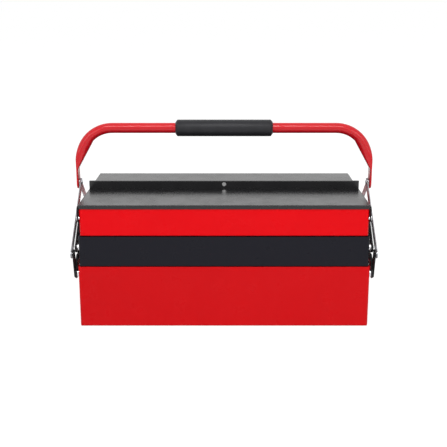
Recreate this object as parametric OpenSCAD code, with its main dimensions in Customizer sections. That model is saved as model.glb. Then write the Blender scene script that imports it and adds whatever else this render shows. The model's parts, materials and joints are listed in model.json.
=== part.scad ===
// Cantilever tool box: one deep bin, two middle trays and two lidded top trays on parallel arms,
// with a tubular carrying handle that works the trays through links at both ends.
// X runs along the box, the front is towards -Y, and the floor is z = 0.

/* [Base bin] */
// Length of the base bin, end wall to end wall
base_l = 430; // [380:1:520]
// Depth of the base bin, front to back
base_d = 200; // [190:1:240]
// Height of the base bin
base_h = 93.6; // [90:0.1:130]
// Sheet thickness of the bin and the trays
sheet_t = 1; // [0.8:0.1:1.4]
// Outside radius of the upright corners
corner_r = 4; // [2.5:0.5:8]
// Outside radius of the folds along the floor edges
fold_r = 2.5; // [1.6:0.1:4]
// Height of the hem turned in along every open edge
hem_h = 8; // [4:0.5:8]
// Thickness that the hem adds inside the wall
hem_t = 0.8; // [0.4:0.1:1.2]

/* [Trays] */
// How much shorter a middle tray is than the base bin, at each end
mid_inset = 2; // [1:0.1:3]
// Height of a middle tray
mid_h = 46.2; // [44:0.1:60]
// Height of a top tray
top_h = 45.5; // [44:0.1:60]
// Free height between a tray and the rim that it rests over
tray_gap = 0.3; // [0.3:0.1:1]
// Free width between the front trays and the back trays
middle_gap = 1; // [0.8:0.1:3]

/* [Lids] */
// How much shorter a lid is than the base bin, at each end
lid_inset = 3; // [2:0.1:4]
// Sheet thickness of a lid
lid_t = 0.8; // [0.6:0.1:1]
// Side clearance between the lid skirt and the top tray
lid_fit = 0.4; // [0.4:0.1:0.8]
// Clearance between the top tray rim and the lid panel
lid_lift = 1; // [0.8:0.1:2]
// Depth of the lid skirt, from the top of the panel
skirt_h = 5.7; // [4:0.1:9]
// Height of the upright flange on the meeting edge of a lid
flange_h = 11.7; // [10.5:0.1:18]
// Thickness of that flange, a folded hem
flange_t = 1.6; // [1.2:0.1:2]
// Free width between the two flanges
flange_gap = 0.8; // [0.6:0.1:1.5]
// Radius of the padlock hole through both flanges
padlock_r = 3.25; // [2.5:0.05:3.5]
// Height of the padlock hole above the lid panel
padlock_up = 6.3; // [5:0.1:7]
// Thickness of the hinge bracket at each end of a lid
bracket_t = 1.6; // [1.2:0.1:2]
// Width of the hinge bracket
bracket_w = 12; // [10:0.5:12]
// Distance of the lid pivot below the top of the lid panel
lid_pivot_down = 20.7; // [20.5:0.1:24]
// Distance of the lid pivot behind the outer face of the lid skirt
lid_pivot_in = 6; // [5.5:0.1:7]

/* [Arms] */
// Distance between neighbouring pivots of an arm
arm_c = 54; // [50:0.5:56]
// Least distance of an arm pivot from the middle plane of the box
arm_mid = 11.6; // [9:0.1:11.6]
// Width of an arm
arm_w = 16; // [13:0.5:17]
// Thickness of an arm
arm_t = 2; // [1.5:0.1:3]
// Distance of the arms outside the end wall of the base bin
arm_gap = 3.7; // [3.4:0.1:6]
// Distance of the long arm pivot behind the outer wall of the base bin
long_in = 12; // [11:0.5:14]
// Depth of the long arm pivot under the rim of the base bin
long_down = 13.6; // [12:0.1:17]
// Distance between the long arm pivot and the lower arm pivot, front to back
lower_in = 35; // [31:0.5:36]
// How much lower the lower arm pivot is than the long arm pivot
lower_down = 2; // [0:0.5:4]
// Distance between the upper arm pivot and the long arm pivot on a middle tray
upper_out = 32; // [30:0.5:34]

/* [Cranks and links] */
// Thickness of the crank plate on a long arm
crank_t = 1.5; // [1.2:0.1:2]
// How far the round end of a bar stands proud of its straight side
eye_proud = 0.2; // [0.1:0.05:0.5]
// Width of the crank plate
crank_w = 14; // [12:0.5:15]
// Height of the link pivot over the long arm pivot
crank_up = 32; // [28:0.5:34]
// Distance of the link pivot outside the long arm pivot
crank_out = 7; // [5:0.5:8]
// Distance from the long arm pivot to the rivet that fixes the crank
crank_root = 24; // [22:0.5:30]
// Width of a handle link
link_w = 13; // [12:0.5:15]
// Thickness of a handle link
link_t = 1.5; // [1.2:0.1:2]

/* [Rivets] */
// Radius of the pivot rivets
rivet_r = 2.5; // [2:0.1:3]
// Running clearance round a pivot rivet
pivot_fit = 0.05; // [0.02:0.01:0.1]
// Clearance beside a part that turns
slip = 0.2; // [0.1:0.05:0.4]
// Radius of a rivet head
head_r = 4.5; // [4:0.1:5]
// Height of a rivet head
head_h = 1.2; // [0.8:0.1:1.8]
// Outside radius of the spacer bushes
bush_r = 5.5; // [4.5:0.1:6]

/* [Handle] */
// Height of the handle pivot above the lid panel
pin_up = 9.6; // [8:0.1:14]
// Radius of the handle pivot pins
pin_r = 3; // [2.5:0.1:4]
// Height of the tube's centreline above the handle pivot
handle_h = 86.4; // [80:0.1:110]
// Outside radius of the handle tube
tube_r = 8; // [7:0.1:9]
// Wall of the handle tube
tube_t = 1.5; // [1:0.1:2.5]
// Centreline radius of the handle bends
bend_r = 50; // [40:1:56]
// Thickness of the flattened end of the tube
lug_t = 3; // [2:0.1:4]
// Width of the flattened end of the tube
lug_w = 20; // [16:0.5:22]
// Distance of the flattened end inside the outer side of the tube
lug_inset = 0.9; // [0.4:0.1:2]
// Height above the pivot at which the tube is fully flat
lug_top = 17; // [14:0.5:20]
// Length of the hand grip
grip_l = 150; // [120:1:200]
// Radius of the hand grip
grip_r = 13; // [11:0.1:16]
// Length of the bevel at each end of the grip
grip_bevel = 3; // [1:0.5:5]

/* [Hidden] */
$fn = 64;
front = -1;
back = 1;
left = -1;
right = 1;

// Half lengths of the bin, the trays and the lids
base_hl = base_l / 2;
mid_hl = base_hl - mid_inset;
lid_hl = base_hl - lid_inset;
top_hl = lid_hl - lid_t - lid_fit;

// Outer and inner sides of the front trays, as distances in front of the middle plane
tray_out = base_d / 2;
tray_in = middle_gap / 2;
top_out = tray_out - lid_t - lid_fit;

// Heights
mid_z = base_h + tray_gap;
top_z = mid_z + mid_h + tray_gap;
top_rim = top_z + top_h;
panel_z = top_rim + lid_lift + lid_t;
pin_z = panel_z + pin_up;

// Planes of the parts outside the end walls
arm_x = base_hl + arm_gap;
crank_x = arm_x + arm_t;
link_play = 0.3;
front_link_x = crank_x + crank_t + slip + head_h + link_play;
back_link_x = front_link_x + link_t + link_play;
lug_x = back_link_x + link_t + link_play;
tube_x = lug_x + lug_t + lug_inset - tube_r;

// Pivots of the front side as [y, z]; the arms of a shut box lean in at 45 degrees, or are
// steeper where half the depth is too short for that
half_reach = (tray_out - long_in - arm_mid) / 2;
lean = min(arm_c * sqrt(0.5), half_reach);
step = [lean, sqrt(arm_c * arm_c - lean * lean)];
long_0 = [long_in - tray_out, base_h - long_down];
long_1 = long_0 + step;
long_2 = long_1 + step;
lower_0 = long_0 + [lower_in, -lower_down];
lower_1 = lower_0 + step;
upper_1 = long_1 - [upper_out, 0];
upper_2 = upper_1 + step;
link_m = long_0 + [-crank_out, crank_up];
crank_fix = long_0 + step * crank_root / arm_c;
handle_h_pivot = [0, pin_z];
lid_pivot = [lid_pivot_in - tray_out, panel_z - lid_pivot_down];
hole_r = rivet_r + pivot_fit;

// Puts what is drawn for the front right corner on the asked side and end
module place(side, end) {
    mirror([end < 0 ? 1 : 0, 0, 0])
    mirror([0, side > 0 ? 1 : 0, 0])
    children();
}

module both_ends(side) {
    for (end = [left, right]) place(side, end) children();
}

// Plate of a [y, z] outline, from x = x0 outwards
module plate(x0, t) {
    translate([x0, 0, 0]) rotate([90, 0, 90]) linear_extrude(height = t) children();
}

// Round bar along x at a pivot, from x0 to x1
module rod(p, x0, x1, r) {
    translate([x0, p[0], p[1]]) rotate([0, 90, 0]) cylinder(h = x1 - x0, r = r);
}

// Outline of a flat bar whose round ends stand a little proud of its sides
module bar(p, q, w) {
    d = q - p;
    side_w = w - 2 * eye_proud;
    translate(p) circle(r = w / 2);
    translate(q) circle(r = w / 2);
    translate(p) rotate(atan2(d[1], d[0])) translate([0, -side_w / 2]) square([norm(d), side_w]);
}

module holes(points, r) {
    for (p = points) translate(p) circle(r = r);
}

// Rivet along x with a bevelled head at each end; x0 and x1 are the faces under its heads
module rivet(p, x0, x1, r, r_head, h_in, h_out) {
    crown = 0.6 * r_head;
    edge = 0.4;
    translate([0, p[0], p[1]]) rotate([0, 90, 0]) rotate_extrude()
    polygon([
        [0, x0 - h_in], [crown, x0 - h_in], [r_head, x0 - edge * h_in], [r_head, x0], [r, x0],
        [r, x1], [r_head, x1], [r_head, x1 + edge * h_out], [crown, x1 + h_out], [0, x1 + h_out]]);
}

// Pivot stud along x, staked flush at x0, with a bevelled head over x1
module stud(p, x0, x1, r, r_head, h) {
    crown = 0.6 * r_head;
    edge = 0.4;
    translate([0, p[0], p[1]]) rotate([0, 90, 0]) rotate_extrude()
    polygon([[0, x0], [r, x0], [r, x1], [r_head, x1], [r_head, x1 + edge * h], [crown, x1 + h], [0, x1 + h]]);
}

module bush(p, x0, x1) {
    difference() {
        rod(p, x0, x1, bush_r);
        rod(p, x0 - 1, x1 + 1, hole_r);
    }
}

module round_rect(l, d, r) {
    for (x = [r - l / 2, l / 2 - r], y = [r - d / 2, d / 2 - r]) translate([x, y]) circle(r = r);
    square([l - 2 * r, d], center = true);
    square([l, d - 2 * r], center = true);
}

// Upright outline with rounded lower corners
module fold_outline(l, h, r) {
    for (x = [r - l / 2, l / 2 - r]) translate([x, r]) circle(r = r);
    translate([r - l / 2, 0]) square([l - 2 * r, h]);
    translate([-l / 2, r]) square([l, h - r]);
}

// Block with round upright corners and rounded lower edges, standing on z = 0
module pan_block(l, d, h, r_corner, r_fold) {
    intersection() {
        linear_extrude(height = h) round_rect(l, d, r_corner);
        translate([-l / 2, 0, 0]) plate(0, l) fold_outline(d, h, r_fold);
        translate([0, d / 2, 0]) rotate([90, 0, 0]) linear_extrude(height = d) fold_outline(l, h, r_fold);
    }
}

// Folded sheet pan with a hem turned in along its open edge
module pan(l, d, h) {
    hem = sheet_t + hem_t;
    difference() {
        pan_block(l, d, h, corner_r, fold_r);
        translate([0, 0, sheet_t])
        pan_block(l - 2 * sheet_t, d - 2 * sheet_t, h - hem_h - sheet_t, corner_r - sheet_t, fold_r - sheet_t);
        translate([0, 0, h - hem_h - 1])
        linear_extrude(height = hem_h + 2)
        round_rect(l - 2 * hem, d - 2 * hem, max(corner_r - hem, 0.4));
    }
}

// Base bin

module base_bin() {
    color("firebrick") difference() {
        pan(base_l, base_d, base_h);
        for (side = [front, back]) both_ends(side)
        for (p = [long_0, lower_0]) rod(p, base_hl - sheet_t - 1, base_hl + 1, hole_r);
    }
}

module base_bushes() {
    color("silver")
    for (side = [front, back]) both_ends(side)
    for (p = [long_0, lower_0]) bush(p, base_hl, arm_x - slip);
}

module base_rivets() {
    color("silver") for (side = [front, back]) both_ends(side) {
        rivet(long_0, base_hl - sheet_t, crank_x + crank_t + slip, rivet_r, head_r, head_h, head_h);
        rivet(lower_0, base_hl - sheet_t, crank_x + slip, rivet_r, head_r, head_h, head_h);
    }
}

// Arms, cranks and links

module long_arm(side, end) {
    color("gainsboro") place(side, end) plate(arm_x, arm_t) difference() {
        bar(long_0, long_2, arm_w);
        holes([long_0, long_1, long_2, crank_fix], hole_r);
    }
}

module lower_arm(side, end) {
    color("gainsboro") place(side, end) plate(arm_x, arm_t) difference() {
        bar(lower_0, lower_1, arm_w);
        holes([lower_0, lower_1], hole_r);
    }
}

module upper_arm(side, end) {
    color("gainsboro") place(side, end) plate(arm_x, arm_t) difference() {
        bar(upper_1, upper_2, arm_w);
        holes([upper_1, upper_2], hole_r);
    }
}

module crank(side, end) {
    color("gainsboro") place(side, end) plate(crank_x, crank_t) difference() {
        union() {
            bar(long_0, link_m, crank_w);
            bar(long_0, crank_fix, crank_w);
        }
        holes([long_0, crank_fix], hole_r);
    }
}

module crank_rivets(side) {
    color("silver") both_ends(side)
    rivet(crank_fix, arm_x, crank_x + crank_t, rivet_r, head_r, head_h / 2, head_h / 2);
}

module link(side, end) {
    x0 = side < 0 ? front_link_x : back_link_x;
    color("gainsboro") place(side, end) plate(x0, link_t) difference() {
        bar(handle_h_pivot, link_m, link_w);
        holes([handle_h_pivot], pin_r + pivot_fit);
        holes([link_m], hole_r);
    }
}

module link_rivets(side) {
    x0 = side < 0 ? front_link_x : back_link_x;
    color("silver") both_ends(side) {
        rivet(link_m, x0, x0 + link_t, rivet_r, head_r, x0 - crank_x - crank_t - link_play, head_h);
    }
}

// Trays

module middle_tray(side) {
    color("dimgray") difference() {
        translate([0, side * (tray_out + tray_in) / 2, mid_z]) pan(2 * mid_hl, tray_out - tray_in, mid_h);
        both_ends(side) for (p = [long_1, lower_1, upper_1]) rod(p, mid_hl - sheet_t - 1, mid_hl + 1, hole_r);
    }
}

module middle_bushes(side) {
    color("silver") both_ends(side)
    for (p = [long_1, lower_1, upper_1]) bush(p, mid_hl, arm_x - slip);
}

module middle_rivets(side) {
    color("silver") both_ends(side)
    for (p = [long_1, lower_1, upper_1])
        rivet(p, mid_hl - sheet_t, crank_x + slip, rivet_r, head_r, head_h, head_h);
}

module top_tray(side) {
    color("red") difference() {
        translate([0, side * (top_out + tray_in) / 2, top_z]) pan(2 * top_hl, top_out - tray_in, top_h);
        both_ends(side) for (p = [long_2, upper_2, lid_pivot]) rod(p, top_hl - sheet_t - 1, top_hl + 1, hole_r);
    }
}

module top_bushes(side) {
    color("silver") both_ends(side)
    for (p = [long_2, upper_2]) bush(p, top_hl, arm_x - slip);
}

module top_rivets(side) {
    color("silver") both_ends(side)
    for (p = [long_2, upper_2])
        rivet(p, top_hl - sheet_t, crank_x + slip, rivet_r, head_r, head_h, head_h);
}

// Lids

module lid(side) {
    inner = flange_gap / 2;
    color("gray") mirror([0, side > 0 ? 1 : 0, 0]) difference() {
        union() {
            difference() {
                translate([0, -(tray_out + inner) / 2, panel_z])
                mirror([0, 0, 1])
                pan_block(2 * lid_hl, tray_out - inner, skirt_h, corner_r - lid_fit, 1.5 * lid_t);
                translate([0, lid_t, panel_z - skirt_h - 1])
                linear_extrude(height = skirt_h + 1 - lid_t)
                round_rect(2 * (lid_hl - lid_t), 2 * tray_out, corner_r - lid_fit - lid_t);
            }
            translate([-lid_hl, -inner - flange_t, panel_z - lid_t])
            cube([2 * lid_hl, flange_t, flange_h + lid_t]);
        }
        translate([0, 0, panel_z + padlock_up]) rotate([90, 0, 0]) cylinder(h = 2 * (inner + flange_t), r = padlock_r);
        translate([-lid_hl - 1, -inner, panel_z - skirt_h - 1]) cube([2 * lid_hl + 2, 2, 2 * flange_h + skirt_h]);
    }
}

module lid_brackets(side) {
    top = [lid_pivot[0], panel_z - fold_r - bracket_w / 2];
    color("silver") both_ends(side) plate(lid_hl, bracket_t) difference() {
        bar(lid_pivot, top, bracket_w);
        holes([lid_pivot], hole_r);
    }
}

module lid_pins(side) {
    color("silver") both_ends(side)
    stud(lid_pivot, top_hl - sheet_t, lid_hl + bracket_t + slip, rivet_r, head_r, head_h);
}

// Handle

module handle_pins() {
    color("silver") both_ends(front)
    rivet(handle_h_pivot, front_link_x - slip, lug_x + lug_t + slip, pin_r, head_r, head_h, head_h / 2);
}

// Round bar of radius r along the bent tube, from one neck to the other
module bent_bar(r) {
    top = pin_z + handle_h;
    reach = tube_x - bend_r;
    rod([0, top], -reach, reach, r);
    for (end = [left, right]) place(front, end)
    translate([reach, 0, top - bend_r]) rotate([90, 0, 0])
    rotate_extrude(angle = 90) translate([bend_r, 0]) circle(r = r);
}

module neck() {
    top = pin_z + handle_h - bend_r;
    hull() {
        translate([tube_x, 0, top - 0.5]) cylinder(h = 0.5, r = tube_r, $fn = 32);
        translate([lug_x, -lug_w / 2, pin_z + lug_top]) cube([lug_t, lug_w, 0.5]);
    }
}

module lug() {
    difference() {
        plate(lug_x, lug_t) {
            translate(handle_h_pivot) circle(r = lug_w / 2);
            translate([-lug_w / 2, pin_z]) square([lug_w, lug_top]);
        }
        rod(handle_h_pivot, lug_x - 1, lug_x + lug_t + 1, pin_r + pivot_fit);
    }
}

module handle_tube() {
    color("crimson") {
        difference() {
            bent_bar(tube_r);
            bent_bar(tube_r - tube_t);
        }
        for (end = [left, right]) place(front, end) {
            neck();
            lug();
        }
    }
}

module handle_grip() {
    color("black")
    translate([0, 0, pin_z + handle_h]) rotate([0, 90, 0]) rotate_extrude()
    polygon([
        [tube_r, -grip_l / 2],
        [grip_r - grip_bevel / 2, -grip_l / 2],
        [grip_r, grip_bevel - grip_l / 2],
        [grip_r, grip_l / 2 - grip_bevel],
        [grip_r - grip_bevel / 2, grip_l / 2],
        [tube_r, grip_l / 2]]);
}

base_bin();
base_bushes();
base_rivets();
long_arm(front, left);  // front_left_long_arm
long_arm(front, right);  // front_right_long_arm
crank(front, left);  // front_left_crank
crank(front, right);  // front_right_crank
crank_rivets(front);  // front_crank_rivets
lower_arm(front, left);  // front_left_lower_arm
lower_arm(front, right);  // front_right_lower_arm
upper_arm(front, left);  // front_left_upper_arm
upper_arm(front, right);  // front_right_upper_arm
middle_tray(front);  // front_middle_tray
middle_bushes(front);  // front_middle_bushes
middle_rivets(front);  // front_middle_rivets
top_tray(front);  // front_top_tray
top_bushes(front);  // front_top_bushes
top_rivets(front);  // front_top_rivets
lid(front);  // front_lid
lid_brackets(front);  // front_lid_brackets
lid_pins(front);  // front_lid_pins
link(front, left);  // front_left_link
link(front, right);  // front_right_link
link_rivets(front);  // front_link_rivets
long_arm(back, left);  // back_left_long_arm
long_arm(back, right);  // back_right_long_arm
crank(back, left);  // back_left_crank
crank(back, right);  // back_right_crank
crank_rivets(back);  // back_crank_rivets
lower_arm(back, left);  // back_left_lower_arm
lower_arm(back, right);  // back_right_lower_arm
upper_arm(back, left);  // back_left_upper_arm
upper_arm(back, right);  // back_right_upper_arm
middle_tray(back);  // back_middle_tray
middle_bushes(back);  // back_middle_bushes
middle_rivets(back);  // back_middle_rivets
top_tray(back);  // back_top_tray
top_bushes(back);  // back_top_bushes
top_rivets(back);  // back_top_rivets
lid(back);  // back_lid
lid_brackets(back);  // back_lid_brackets
lid_pins(back);  // back_lid_pins
link(back, left);  // back_left_link
link(back, right);  // back_right_link
link_rivets(back);  // back_link_rivets
handle_pins();
handle_tube();
handle_grip();
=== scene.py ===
# Cantilever tool box: finishes, a drawn handle tube and its grip, studio light and camera.
import json
import math

import bmesh
import bpy
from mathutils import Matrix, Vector


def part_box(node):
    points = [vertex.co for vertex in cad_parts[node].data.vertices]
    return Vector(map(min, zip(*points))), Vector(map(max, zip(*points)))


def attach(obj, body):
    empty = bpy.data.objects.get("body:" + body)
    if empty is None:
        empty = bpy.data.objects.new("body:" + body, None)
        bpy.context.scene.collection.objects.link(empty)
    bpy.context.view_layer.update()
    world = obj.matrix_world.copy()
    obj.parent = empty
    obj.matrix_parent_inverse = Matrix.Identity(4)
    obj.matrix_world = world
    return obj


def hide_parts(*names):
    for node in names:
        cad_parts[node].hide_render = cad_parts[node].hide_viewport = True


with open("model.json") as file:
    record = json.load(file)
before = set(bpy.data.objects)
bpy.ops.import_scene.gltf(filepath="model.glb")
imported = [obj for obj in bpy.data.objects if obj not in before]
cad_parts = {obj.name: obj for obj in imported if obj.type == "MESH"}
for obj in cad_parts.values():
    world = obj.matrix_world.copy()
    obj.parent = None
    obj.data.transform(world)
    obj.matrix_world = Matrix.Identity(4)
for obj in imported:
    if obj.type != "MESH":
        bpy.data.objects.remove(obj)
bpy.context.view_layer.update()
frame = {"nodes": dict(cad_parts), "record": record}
nodes = frame["nodes"]
record = frame["record"]
MM = 0.001

# Camera, fitted to the photograph: pitched down a little, with a slightly shifted lens
CAMERA_DISTANCE = 1.115
CAMERA_HEIGHT = 0.4795
CAMERA_FOCAL_PX = 730.0
CAMERA_PITCH = math.radians(12.2)
CAMERA_SHIFT = -0.15
CAMERA_SIDE_PX = -0.6
CAMERA_NEAR = 0.05
CAMERA_FAR = 100.0
FRAME_PX = 447
SENSOR_MM = 36.0


def make_camera():
    data = bpy.data.cameras.new("photo_camera")
    data.sensor_width = SENSOR_MM
    data.lens = CAMERA_FOCAL_PX / FRAME_PX * SENSOR_MM
    data.shift_y = CAMERA_SHIFT
    data.shift_x = CAMERA_SIDE_PX / FRAME_PX
    data.clip_start = CAMERA_NEAR
    data.clip_end = CAMERA_FAR
    camera = bpy.data.objects.new("photo_camera", data)
    camera.location = (0.0, -CAMERA_DISTANCE, CAMERA_HEIGHT)
    camera.rotation_euler = (math.pi / 2 - CAMERA_PITCH, 0.0, 0.0)
    bpy.context.scene.collection.objects.link(camera)
    bpy.context.scene.camera = camera


# Materials

# Noise keeps mostly between these two values
NOISE_LOW = 0.3
NOISE_HIGH = 0.7


class Nodes:
    """The node tree of one material, with short calls for the nodes that repeat."""

    def __init__(self, name):
        self.material = bpy.data.materials.new(name)
        self.material.use_nodes = True
        self.tree = self.material.node_tree
        self.shader = self.tree.nodes["Principled BSDF"]
        coords = self.tree.nodes.new("ShaderNodeTexCoord")
        self.coords = coords.outputs["Object"]

    def link(self, source, target):
        self.tree.links.new(source, target)

    def stretched(self, scale):
        mapping = self.tree.nodes.new("ShaderNodeMapping")
        mapping.inputs["Scale"].default_value = scale
        self.link(self.coords, mapping.inputs["Vector"])
        return mapping.outputs["Vector"]

    def noise(self, scale, detail=2.0, rough=0.5, vector=None):
        node = self.tree.nodes.new("ShaderNodeTexNoise")
        node.inputs["Scale"].default_value = scale
        node.inputs["Detail"].default_value = detail
        node.inputs["Roughness"].default_value = rough
        self.link(vector or self.coords, node.inputs["Vector"])
        return node.outputs["Fac"]

    def cells(self, scale):
        node = self.tree.nodes.new("ShaderNodeTexVoronoi")
        node.inputs["Scale"].default_value = scale
        self.link(self.coords, node.inputs["Vector"])
        return node.outputs["Distance"]

    def spread(self, value, low, high):
        node = self.tree.nodes.new("ShaderNodeMapRange")
        node.inputs["From Min"].default_value = NOISE_LOW
        node.inputs["From Max"].default_value = NOISE_HIGH
        node.inputs["To Min"].default_value = low
        node.inputs["To Max"].default_value = high
        self.link(value, node.inputs["Value"])
        return node.outputs["Result"]

    def between(self, value, low, high):
        node = self.tree.nodes.new("ShaderNodeMix")
        node.data_type = "RGBA"
        node.inputs["A"].default_value = (*low, 1.0)
        node.inputs["B"].default_value = (*high, 1.0)
        self.link(value, node.inputs["Factor"])
        return node.outputs["Result"]

    def bump(self, height, strength, distance, after=None):
        node = self.tree.nodes.new("ShaderNodeBump")
        node.inputs["Strength"].default_value = strength
        node.inputs["Distance"].default_value = distance
        self.link(height, node.inputs["Height"])
        if after:
            self.link(after, node.inputs["Normal"])
        return node.outputs["Normal"]

    def set(self, **values):
        for name, value in values.items():
            self.shader.inputs[name.replace("_", " ")].default_value = value

    def feed(self, **sources):
        for name, source in sources.items():
            self.link(source, self.shader.inputs[name.replace("_", " ")])

    def tint(self, colour, scale, detail, darkest, lightest):
        """Base colour in soft patches between two shades of one colour."""
        dark = [c * darkest for c in colour]
        light = [c * lightest for c in colour]
        patches = self.spread(self.noise(scale, detail), low=0.0, high=1.0)
        self.feed(Base_Color=self.between(patches, dark, light))


def enamel(name, colour, rough, level, peel_depth=0.08, wave_depth=0.05):
    """Stoved enamel on sheet steel: even colour, faint orange peel and a slightly wavy sheet."""
    n = Nodes(name)
    n.tint(colour, scale=6.0, detail=3.0, darkest=0.97, lightest=1.03)
    uneven = n.noise(scale=45.0, detail=4.0)
    n.feed(Roughness=n.spread(uneven, low=rough - 0.04, high=rough + 0.05))
    peel = n.bump(n.noise(scale=620.0), strength=peel_depth, distance=0.3 * MM)
    wave = n.noise(scale=9.0, detail=1.0)
    n.feed(Normal=n.bump(wave, strength=wave_depth, distance=3 * MM, after=peel))
    n.set(IOR=1.5, Specular_IOR_Level=level)
    return n.material


def zinc(name, colour, rough):
    """Bright zinc on rolled strip, with fine streaks and a cloudy bloom."""
    n = Nodes(name)
    n.tint(colour, scale=70.0, detail=4.0, darkest=0.86, lightest=1.0)
    streaks = n.noise(scale=1.0, detail=3.0, rough=0.6, vector=n.stretched((900.0, 900.0, 90.0)))
    n.feed(Roughness=n.spread(streaks, low=rough - 0.08, high=rough + 0.1))
    n.feed(Normal=n.bump(streaks, strength=0.12, distance=0.1 * MM))
    n.set(Metallic=1.0)
    return n.material


def grip_rubber(name, colour):
    """Moulded rubber sleeve with a fine grain."""
    n = Nodes(name)
    n.tint(colour, scale=60.0, detail=3.0, darkest=0.85, lightest=1.15)
    n.feed(Roughness=n.spread(n.noise(scale=300.0), low=0.40, high=0.50))
    n.feed(Normal=n.bump(n.cells(scale=1500.0), strength=0.25, distance=0.2 * MM))
    n.set(IOR=1.5, Specular_IOR_Level=0.25)
    return n.material


finish = {
    "base_red": enamel("base_red_enamel", (0.64, 0.004, 0.007), rough=0.30, level=0.11),
    "tray_red": enamel("tray_red_enamel", (0.80, 0.003, 0.007), rough=0.30, level=0.09),
    "tray_black": enamel("tray_black_enamel", (0.008, 0.008, 0.013), rough=0.30, level=0.13),
    "lid_black": enamel(
        "lid_black_enamel", (0.006, 0.006, 0.007), rough=0.25, level=0.45, peel_depth=0.03),
    "arm_black": enamel("arm_black_enamel", (0.008, 0.008, 0.009), rough=0.30, level=0.2),
    "handle_red": enamel(
        "handle_red_enamel", (0.60, 0.005, 0.012), rough=0.16, level=0.35, peel_depth=0.03, wave_depth=0.0),
    "grip": grip_rubber("grip_rubber", (0.016, 0.016, 0.019)),
    # Painted shade: the zinc plate gets a colour much darker than real zinc, standing in for the dark
    # surroundings that it reflects.
    "zinc_plate": zinc("zinc_plate", (0.42, 0.42, 0.44), rough=0.30),
    "rivet_steel": zinc("rivet_zinc", (0.72, 0.72, 0.74), rough=0.22),
}
slot_of = {part["node"]: part["material_slot"] for part in record["subparts"]}


def dress(piece, slot):
    piece.data.materials.clear()
    piece.data.materials.append(finish[slot])


# Rounded edges: folded sheet, cut bar and rivet heads. The slots left out are drawn further down
SHEET_EDGE = 0.35 * MM
BAR_EDGE = 0.3 * MM
HEAD_EDGE = 0.15 * MM
EDGE_OF_SLOT = {
    "base_red": SHEET_EDGE,
    "tray_red": SHEET_EDGE,
    "tray_black": SHEET_EDGE,
    "lid_black": SHEET_EDGE,
    "arm_black": BAR_EDGE,
    "zinc_plate": BAR_EDGE,
    "rivet_steel": HEAD_EDGE,
}
EDGE_SEGMENTS = 2
SHARP_ANGLE = math.radians(40.0)
WELD_DISTANCE = 0.002 * MM


def soften(piece, width):
    """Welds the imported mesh's split corners and rounds its sharp edges."""
    weld = piece.modifiers.new("weld", "WELD")
    weld.merge_threshold = WELD_DISTANCE
    bevel = piece.modifiers.new("edges", "BEVEL")
    bevel.width = width
    bevel.segments = EDGE_SEGMENTS
    bevel.limit_method = "ANGLE"
    bevel.angle_limit = SHARP_ANGLE
    bevel.use_clamp_overlap = True


def dress_cad_nodes():
    for name, piece in nodes.items():
        slot = slot_of[name]
        dress(piece, slot)
        if slot in EDGE_OF_SLOT:
            soften(piece, EDGE_OF_SLOT[slot])


# Drawn pieces: a skin over a row of closed rings


def skin(name, rings):
    """Closed mesh through a row of rings, with flat caps."""
    mesh = bmesh.new()
    rows = [[mesh.verts.new(p) for p in points] for points in rings]
    for a, b in zip(rows, rows[1:]):
        for i in range(len(a)):
            j = (i + 1) % len(a)
            mesh.faces.new((a[i], a[j], b[j], b[i]))
    mesh.faces.new(rows[0][::-1])
    mesh.faces.new(rows[-1])
    bmesh.ops.recalc_face_normals(mesh, faces=mesh.faces)
    for face in mesh.faces:
        face.smooth = len(face.verts) == 4
    data = bpy.data.meshes.new(name)
    mesh.to_mesh(data)
    mesh.free()
    piece = bpy.data.objects.new(name, data)
    bpy.context.scene.collection.objects.link(piece)
    return piece


# Handle tube: bent round, and pressed flat from the middle of each bend down to the lug

tube_low, tube_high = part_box("handle_tube")
pins_low, pins_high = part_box("handle_pins")
TUBE_R = 8 * MM
BEND_R = 50 * MM
BEND_OUTER_R = BEND_R + TUBE_R
BEND_INNER_R = BEND_R - TUBE_R
TUBE_Z = tube_high.z - TUBE_R
BEND_Z = TUBE_Z - BEND_R
BEND_X = tube_high.x - TUBE_R - BEND_R
PIN_Z = (pins_low.z + pins_high.z) / 2
LUG_R = (tube_high.y - tube_low.y) / 2
LUG_T = 3 * MM
LUG_INSET = 0.9 * MM
LUG_OUT = tube_high.x - LUG_INSET
LUG_IN = LUG_OUT - LUG_T
FLAT_OVER_PIN = 22 * MM
FLAT_Z = PIN_Z + FLAT_OVER_PIN
FLAT_START = math.radians(45)

# The lug's round end stops just short of its lowest point, where a ring would have no width
LUG_END_SHARE = 0.999
LUG_END_WIDTH = 0.6 * MM

# A section is a superellipse, nearly a box where flat and an ellipse where round
FLAT_POWER = 6
ROUND_POWER = 2
ROUNDING_RATE = 1.6
RING_POINTS = 40
LUG_STEPS = 12
NECK_STEPS = 14
BEND_STEPS = 12


def ring(outer, inner, width, power):
    """Closed section between an outer and an inner point of the x-z plane, wide in y."""
    centre = (outer + inner) / 2
    across = (outer - inner) / 2
    points = []
    for i in range(RING_POINTS):
        a = 2 * math.pi * i / RING_POINTS
        c = math.copysign(abs(math.cos(a)) ** (2 / power), math.cos(a))
        s = math.copysign(abs(math.sin(a)) ** (2 / power), math.sin(a))
        points.append(centre + across * c + Vector((0.0, width / 2 * s, 0.0)))
    return points


def lug_stations():
    """The lug, from its round lower end to where the tube is fully flat."""
    stations = []
    for i in range(LUG_STEPS + 1):
        a = math.pi / 2 * i / LUG_STEPS
        z = PIN_Z - LUG_R * math.cos(a) * LUG_END_SHARE
        width = max(2 * LUG_R * math.sin(a), LUG_END_WIDTH)
        stations.append((Vector((LUG_OUT, 0, z)), Vector((LUG_IN, 0, z)), width, FLAT_POWER))
    flat_out = Vector((LUG_OUT, 0, FLAT_Z))
    flat_in = Vector((LUG_IN, 0, FLAT_Z))
    stations.append((flat_out, flat_in, 2 * LUG_R, FLAT_POWER))
    return stations


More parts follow.
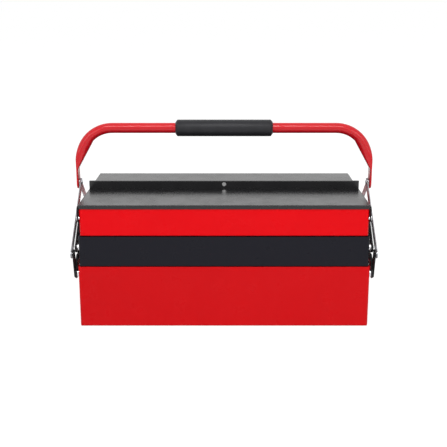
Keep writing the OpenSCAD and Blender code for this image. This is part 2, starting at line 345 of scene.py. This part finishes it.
def neck_outer(z):
    """Point of the tube's outer side at height z, from the flat lug up into the bend."""
    if z <= BEND_Z:
        return Vector((tube_high.x - LUG_INSET * (1 - (z - FLAT_Z) / (BEND_Z - FLAT_Z)), 0, z))
    rise = (z - BEND_Z) / BEND_OUTER_R
    return Vector((BEND_X + BEND_OUTER_R * math.sqrt(1 - rise * rise), 0, z))


def neck_stations():
    """The tube opens from flat to round, and its inner side runs straight up to the kink."""
    kink = Vector((
        BEND_X + BEND_INNER_R * math.cos(FLAT_START), 0,
        BEND_Z + BEND_INNER_R * math.sin(FLAT_START)))
    flat = Vector((LUG_IN, 0, FLAT_Z))
    outer_end_z = BEND_Z + BEND_OUTER_R * math.sin(FLAT_START)
    stations = []
    for i in range(1, NECK_STEPS + 1):
        t = i / NECK_STEPS
        outer = neck_outer(FLAT_Z + (outer_end_z - FLAT_Z) * t)
        ease = t * t * (3 - 2 * t)
        width = 2 * LUG_R + (2 * TUBE_R - 2 * LUG_R) * ease
        power = FLAT_POWER - (FLAT_POWER - ROUND_POWER) * min(1.0, ROUNDING_RATE * t)
        stations.append((outer, flat.lerp(kink, t), width, power))
    return stations


def bend_stations():
    """The rest of the bend, where the tube is round, and one section of its straight top."""
    centre = Vector((BEND_X, 0, BEND_Z))
    stations = []
    for i in range(1, BEND_STEPS + 1):
        a = FLAT_START + (math.pi / 2 - FLAT_START) * i / BEND_STEPS
        out = Vector((math.cos(a), 0, math.sin(a)))
        outer = centre + out * BEND_OUTER_R
        inner = centre + out * BEND_INNER_R
        stations.append((outer, inner, 2 * TUBE_R, ROUND_POWER))
    top_out = Vector((BEND_X / 2, 0, TUBE_Z + TUBE_R))
    top_in = Vector((BEND_X / 2, 0, TUBE_Z - TUBE_R))
    stations.append((top_out, top_in, 2 * TUBE_R, ROUND_POWER))
    return stations


def mirrored(stations):
    return [
        (Vector((-outer.x, 0, outer.z)), Vector((-inner.x, 0, inner.z)), width, power)
        for outer, inner, width, power in stations]


def make_handle():
    right = lug_stations() + neck_stations() + bend_stations()
    rings = [ring(*station) for station in mirrored(right) + right[::-1]]
    piece = skin("handle_bent_tube", rings)
    dress(piece, "handle_red")
    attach(piece, "handle")
    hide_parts("handle_tube")


# Grip sleeve. Each end has a flat face round the tube, a small edge, a slant and a shoulder
GRIP_POINTS = 64
BORE_OVER_TUBE = 0.2 * MM
FACE_OVER_TUBE = 1.4 * MM
EDGE_OVER_TUBE = 1.9 * MM
EDGE_FROM_END = 0.3 * MM
SLANT_FROM_END = 2.5 * MM
SHOULDER_FROM_END = 3.2 * MM
SHOULDER_DROP = 0.35 * MM


def make_grip():
    low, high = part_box("handle_grip")
    centre = (low + high) / 2
    radius = (high.z - low.z) / 2
    half = (high.x - low.x) / 2
    outline = [
        (-half, TUBE_R + BORE_OVER_TUBE),
        (-half, TUBE_R + FACE_OVER_TUBE),
        (-half + EDGE_FROM_END, TUBE_R + EDGE_OVER_TUBE),
        (-half + SLANT_FROM_END, radius - SHOULDER_DROP),
        (-half + SHOULDER_FROM_END, radius)]
    outline += [(-x, r) for x, r in reversed(outline)]
    turns = [2 * math.pi * i / GRIP_POINTS for i in range(GRIP_POINTS)]
    rings = [
        [centre + Vector((x, r * math.cos(a), r * math.sin(a))) for a in turns]
        for x, r in outline]
    piece = skin("handle_grip_sleeve", rings)
    dress(piece, "grip")
    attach(piece, "handle")
    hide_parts("handle_grip")


# Studio: a pale floor and world that a camera, glossy or clear ray sees as white
WHITE = (1.0, 1.0, 1.0, 1.0)
FLOOR_HALF = 30.0
FLOOR_DROP = 0.3 * MM
FLOOR_COLOUR = 0.5
WORLD_LIGHT = 0.55
FLOOR_GLOW = 1.0 - FLOOR_COLOUR * WORLD_LIGHT
LIGHT_TARGET = (0, 0, 0.12)

# Each light's name, place and size in metres, and power in watts
STUDIO_LIGHTS = (
    ("strip_over_front", (0.0, -1.3, 1.8), (1.8, 0.2), 24.0),
    ("front_left_soft", (-1.3, -1.5, 0.9), (1.0, 0.8), 5.0),
    ("front_right_soft", (1.3, -1.5, 0.9), (1.0, 0.8), 5.0),
    ("back_soft", (0.0, 1.8, 1.1), (1.8, 0.8), 2.0),
)


def add_seen_rays(tree):
    """One for a ray of the camera, of a glossy or of a clear surface, else nought."""
    path = tree.nodes.new("ShaderNodeLightPath")
    direct = tree.nodes.new("ShaderNodeMath")
    direct.operation = "MAXIMUM"
    tree.links.new(path.outputs["Is Camera Ray"], direct.inputs[0])
    tree.links.new(path.outputs["Is Glossy Ray"], direct.inputs[1])
    seen = tree.nodes.new("ShaderNodeMath")
    seen.operation = "MAXIMUM"
    tree.links.new(direct.outputs[0], seen.inputs[0])
    tree.links.new(path.outputs["Is Transmission Ray"], seen.inputs[1])
    return seen.outputs[0]


def add_background(tree, strength):
    node = tree.nodes.new("ShaderNodeBackground")
    node.inputs["Color"].default_value = WHITE
    node.inputs["Strength"].default_value = strength
    return node.outputs[0]


def floor_material():
    material = bpy.data.materials.new("pale_floor")
    material.use_nodes = True
    tree = material.node_tree
    tree.nodes.clear()
    diffuse = tree.nodes.new("ShaderNodeBsdfDiffuse")
    diffuse.inputs["Color"].default_value = (FLOOR_COLOUR, FLOOR_COLOUR, FLOOR_COLOUR, 1.0)
    glow = tree.nodes.new("ShaderNodeEmission")
    glow.inputs["Color"].default_value = WHITE
    strength = tree.nodes.new("ShaderNodeMath")
    strength.operation = "MULTIPLY"
    strength.inputs[1].default_value = FLOOR_GLOW
    tree.links.new(add_seen_rays(tree), strength.inputs[0])
    tree.links.new(strength.outputs[0], glow.inputs["Strength"])
    both = tree.nodes.new("ShaderNodeAddShader")
    out = tree.nodes.new("ShaderNodeOutputMaterial")
    tree.links.new(diffuse.outputs[0], both.inputs[0])
    tree.links.new(glow.outputs[0], both.inputs[1])
    tree.links.new(both.outputs[0], out.inputs["Surface"])
    return material


def make_floor():
    mesh = bpy.data.meshes.new("floor")
    h = FLOOR_HALF
    mesh.from_pydata([(-h, -h, 0), (h, -h, 0), (h, h, 0), (-h, h, 0)], [], [(0, 1, 2, 3)])
    mesh.materials.append(floor_material())
    floor = bpy.data.objects.new("floor", mesh)
    floor.location.z = -FLOOR_DROP
    bpy.context.scene.collection.objects.link(floor)


def make_world():
    world = bpy.data.worlds.new("studio")
    bpy.context.scene.world = world
    world.use_nodes = True
    tree = world.node_tree
    tree.nodes.clear()
    mix = tree.nodes.new("ShaderNodeMixShader")
    out = tree.nodes.new("ShaderNodeOutputWorld")
    tree.links.new(add_seen_rays(tree), mix.inputs["Fac"])
    tree.links.new(add_background(tree, WORLD_LIGHT), mix.inputs[1])
    tree.links.new(add_background(tree, 1.0), mix.inputs[2])
    tree.links.new(mix.outputs[0], out.inputs["Surface"])


def area_light(name, place, size, power):
    data = bpy.data.lights.new(name, "AREA")
    data.shape = "RECTANGLE"
    data.size, data.size_y = size
    data.energy = power
    light = bpy.data.objects.new(name, data)
    light.location = place
    light.rotation_euler = (Vector(LIGHT_TARGET) - Vector(place)).to_track_quat("-Z", "Y").to_euler()
    bpy.context.scene.collection.objects.link(light)


make_camera()
dress_cad_nodes()
make_handle()
make_grip()
make_floor()
make_world()
for studio_light in STUDIO_LIGHTS:
    area_light(*studio_light)
bpy.context.scene.view_settings.view_transform = "Standard"
